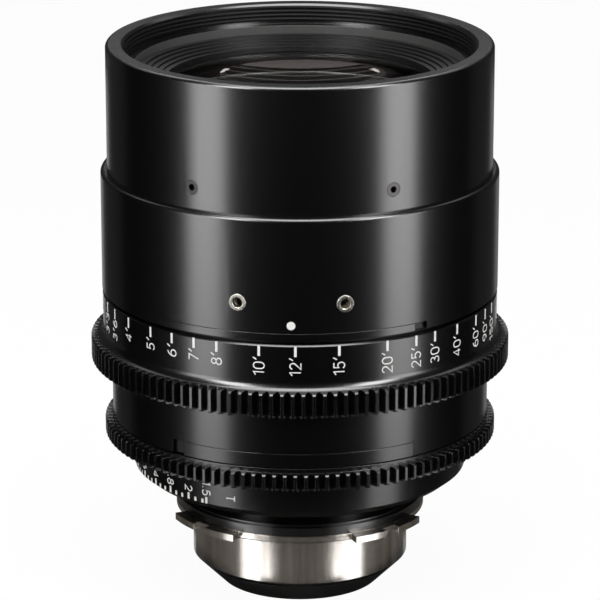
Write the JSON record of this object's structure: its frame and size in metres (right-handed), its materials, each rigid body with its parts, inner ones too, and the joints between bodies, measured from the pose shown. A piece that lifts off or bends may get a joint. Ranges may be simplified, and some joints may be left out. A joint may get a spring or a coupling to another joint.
{
  "type": "cinema prime lens",
  "caption": "Manual cinema prime lens with geared focus and iris rings, an internal focusing group and a bladed iris, on a tabbed breech-lock mount.",
  "frame": {"origin": "centre of the mount's seat, where the mount barrel starts", "axes": "+Z along the optical axis towards the front glass, -Y towards the index mark and scales"},
  "size_m": [0.104, 0.104, 0.1378],
  "materials": {
    "black_anodised": "satin black hard anodised aluminium",
    "focus_ring_black": "satin black hard anodised aluminium with white scale marks",
    "iris_ring_black": "satin black hard anodised aluminium with white scale marks",
    "inner_black": "matte black anodised aluminium",
    "blade_steel": "blackened spring steel",
    "fastener_black": "black oxide steel",
    "fastener_steel": "plain stainless steel",
    "insert_nickel": "nickel plated steel",
    "mount_steel": "turned stainless steel",
    "bearing_brass": "machined brass",
    "slide_plastic": "low-friction plastic",
    "coated_glass": "multicoated optical glass",
    "inner_glass": "multicoated optical glass",
    "rear_glass": "multicoated optical glass"
  },
  "bodies": {
    "housing": {"front_ring": "black_anodised", "front_ring_set_screws": "fastener_black", "front_baffle": "inner_black", "front_retaining_ring": "inner_black", "front_element": "coated_glass", "front_cell": "inner_black", "second_element": "inner_glass", "second_element_retainer": "inner_black", "main_barrel": "black_anodised", "main_barrel_screws": "fastener_steel", "accessory_inserts": "insert_nickel", "focus_index_plate": "black_anodised", "guide_tube": "inner_black", "upper_slide_washer": "slide_plastic", "lower_slide_washer": "slide_plastic", "mid_barrel": "black_anodised", "iris_index_plate": "black_anodised", "iris_housing": "inner_black", "iris_housing_screws": "fastener_steel", "iris_retaining_ring": "inner_black", "iris_base_plate": "inner_black", "iris_clamp_ring": "inner_black", "rear_housing": "black_anodised", "rear_housing_screws": "fastener_steel", "rear_cell": "inner_black", "rear_front_lens": "inner_glass", "rear_lens_spacer": "inner_black", "rear_element": "rear_glass", "rear_retaining_ring": "inner_black", "mount_spacer": "black_anodised", "flange_shim": "mount_steel", "mount_flange": "mount_steel", "mount_screws": "fastener_steel", "rear_shroud": "black_anodised"},
    "focus_ring": {"focus_ring": "focus_ring_black", "focus_drive_keys": "fastener_steel", "focus_cam_sleeve": "bearing_brass"},
    "focus_group": {"focus_cell": "inner_black", "focus_front_lens": "inner_glass", "focus_rear_lens": "inner_glass", "focus_front_retainer": "inner_black", "focus_rear_retainer": "inner_black", "cam_follower_pins": "fastener_steel", "cam_follower_rollers": "bearing_brass"},
    "iris_ring": {"iris_ring": "iris_ring_black", "iris_drive_pin": "fastener_steel", "iris_actuator_ring": "mount_steel"},
    "iris_blade_1": {"iris_blade_1": "blade_steel"},
    "iris_blade_2": {"iris_blade_2": "blade_steel"},
    "iris_blade_3": {"iris_blade_3": "blade_steel"},
    "iris_blade_4": {"iris_blade_4": "blade_steel"},
    "iris_blade_5": {"iris_blade_5": "blade_steel"},
    "iris_blade_6": {"iris_blade_6": "blade_steel"},
    "iris_blade_7": {"iris_blade_7": "blade_steel"},
    "iris_blade_8": {"iris_blade_8": "blade_steel"},
    "iris_blade_9": {"iris_blade_9": "blade_steel"}
  },
  "joints": [
    {"name": "focus_turn", "type": "hinge", "parent": "housing", "child": "focus_ring", "pos_m": [0, 0, 0.048], "axis": [0, 0, 1], "range_deg": [-85, 95]},
    {"name": "focus_slide", "type": "slide", "parent": "housing", "child": "focus_group", "axis": [0, 0, 1], "range_m": [-0.0043, 0.0048]},
    {"name": "iris_turn", "type": "hinge", "parent": "housing", "child": "iris_ring", "pos_m": [0, 0, 0.0175], "axis": [0, 0, 1], "range_deg": [0, 62]},
    {"name": "iris_blade_1_pivot", "type": "hinge", "parent": "housing", "child": "iris_blade_1", "pos_m": [0.0295, 0, 0.0143], "axis": [0, 0, 1], "range_deg": [0, 23.05]},
    {"name": "iris_blade_2_pivot", "type": "hinge", "parent": "housing", "child": "iris_blade_2", "pos_m": [0.0226, 0.01896, 0.0143], "axis": [0, 0, 1], "range_deg": [0, 23.05]},
    {"name": "iris_blade_3_pivot", "type": "hinge", "parent": "housing", "child": "iris_blade_3", "pos_m": [0.00512, 0.02905, 0.0143], "axis": [0, 0, 1], "range_deg": [0, 23.05]},
    {"name": "iris_blade_4_pivot", "type": "hinge", "parent": "housing", "child": "iris_blade_4", "pos_m": [-0.01475, 0.02555, 0.0143], "axis": [0, 0, 1], "range_deg": [0, 23.05]},
    {"name": "iris_blade_5_pivot", "type": "hinge", "parent": "housing", "child": "iris_blade_5", "pos_m": [-0.02772, 0.01009, 0.0143], "axis": [0, 0, 1], "range_deg": [0, 23.05]},
    {"name": "iris_blade_6_pivot", "type": "hinge", "parent": "housing", "child": "iris_blade_6", "pos_m": [-0.02772, -0.01009, 0.0143], "axis": [0, 0, 1], "range_deg": [0, 23.05]},
    {"name": "iris_blade_7_pivot", "type": "hinge", "parent": "housing", "child": "iris_blade_7", "pos_m": [-0.01475, -0.02555, 0.0143], "axis": [0, 0, 1], "range_deg": [0, 23.05]},
    {"name": "iris_blade_8_pivot", "type": "hinge", "parent": "housing", "child": "iris_blade_8", "pos_m": [0.00512, -0.02905, 0.0143], "axis": [0, 0, 1], "range_deg": [0, 23.05]},
    {"name": "iris_blade_9_pivot", "type": "hinge", "parent": "housing", "child": "iris_blade_9", "pos_m": [0.0226, -0.01896, 0.0143], "axis": [0, 0, 1], "range_deg": [0, 23.05]}
  ],
  "couplings": [
    {"joint": "focus_slide", "follows": "focus_turn", "m_per_rad": 0.0028648},
    {"joint": "iris_blade_1_pivot", "follows": "iris_turn", "ratio": 0.37097},
    {"joint": "iris_blade_2_pivot", "follows": "iris_turn", "ratio": 0.37097},
    {"joint": "iris_blade_3_pivot", "follows": "iris_turn", "ratio": 0.37097},
    {"joint": "iris_blade_4_pivot", "follows": "iris_turn", "ratio": 0.37097},
    {"joint": "iris_blade_5_pivot", "follows": "iris_turn", "ratio": 0.37097},
    {"joint": "iris_blade_6_pivot", "follows": "iris_turn", "ratio": 0.37097},
    {"joint": "iris_blade_7_pivot", "follows": "iris_turn", "ratio": 0.37097},
    {"joint": "iris_blade_8_pivot", "follows": "iris_turn", "ratio": 0.37097},
    {"joint": "iris_blade_9_pivot", "follows": "iris_turn", "ratio": 0.37097}
  ]
}
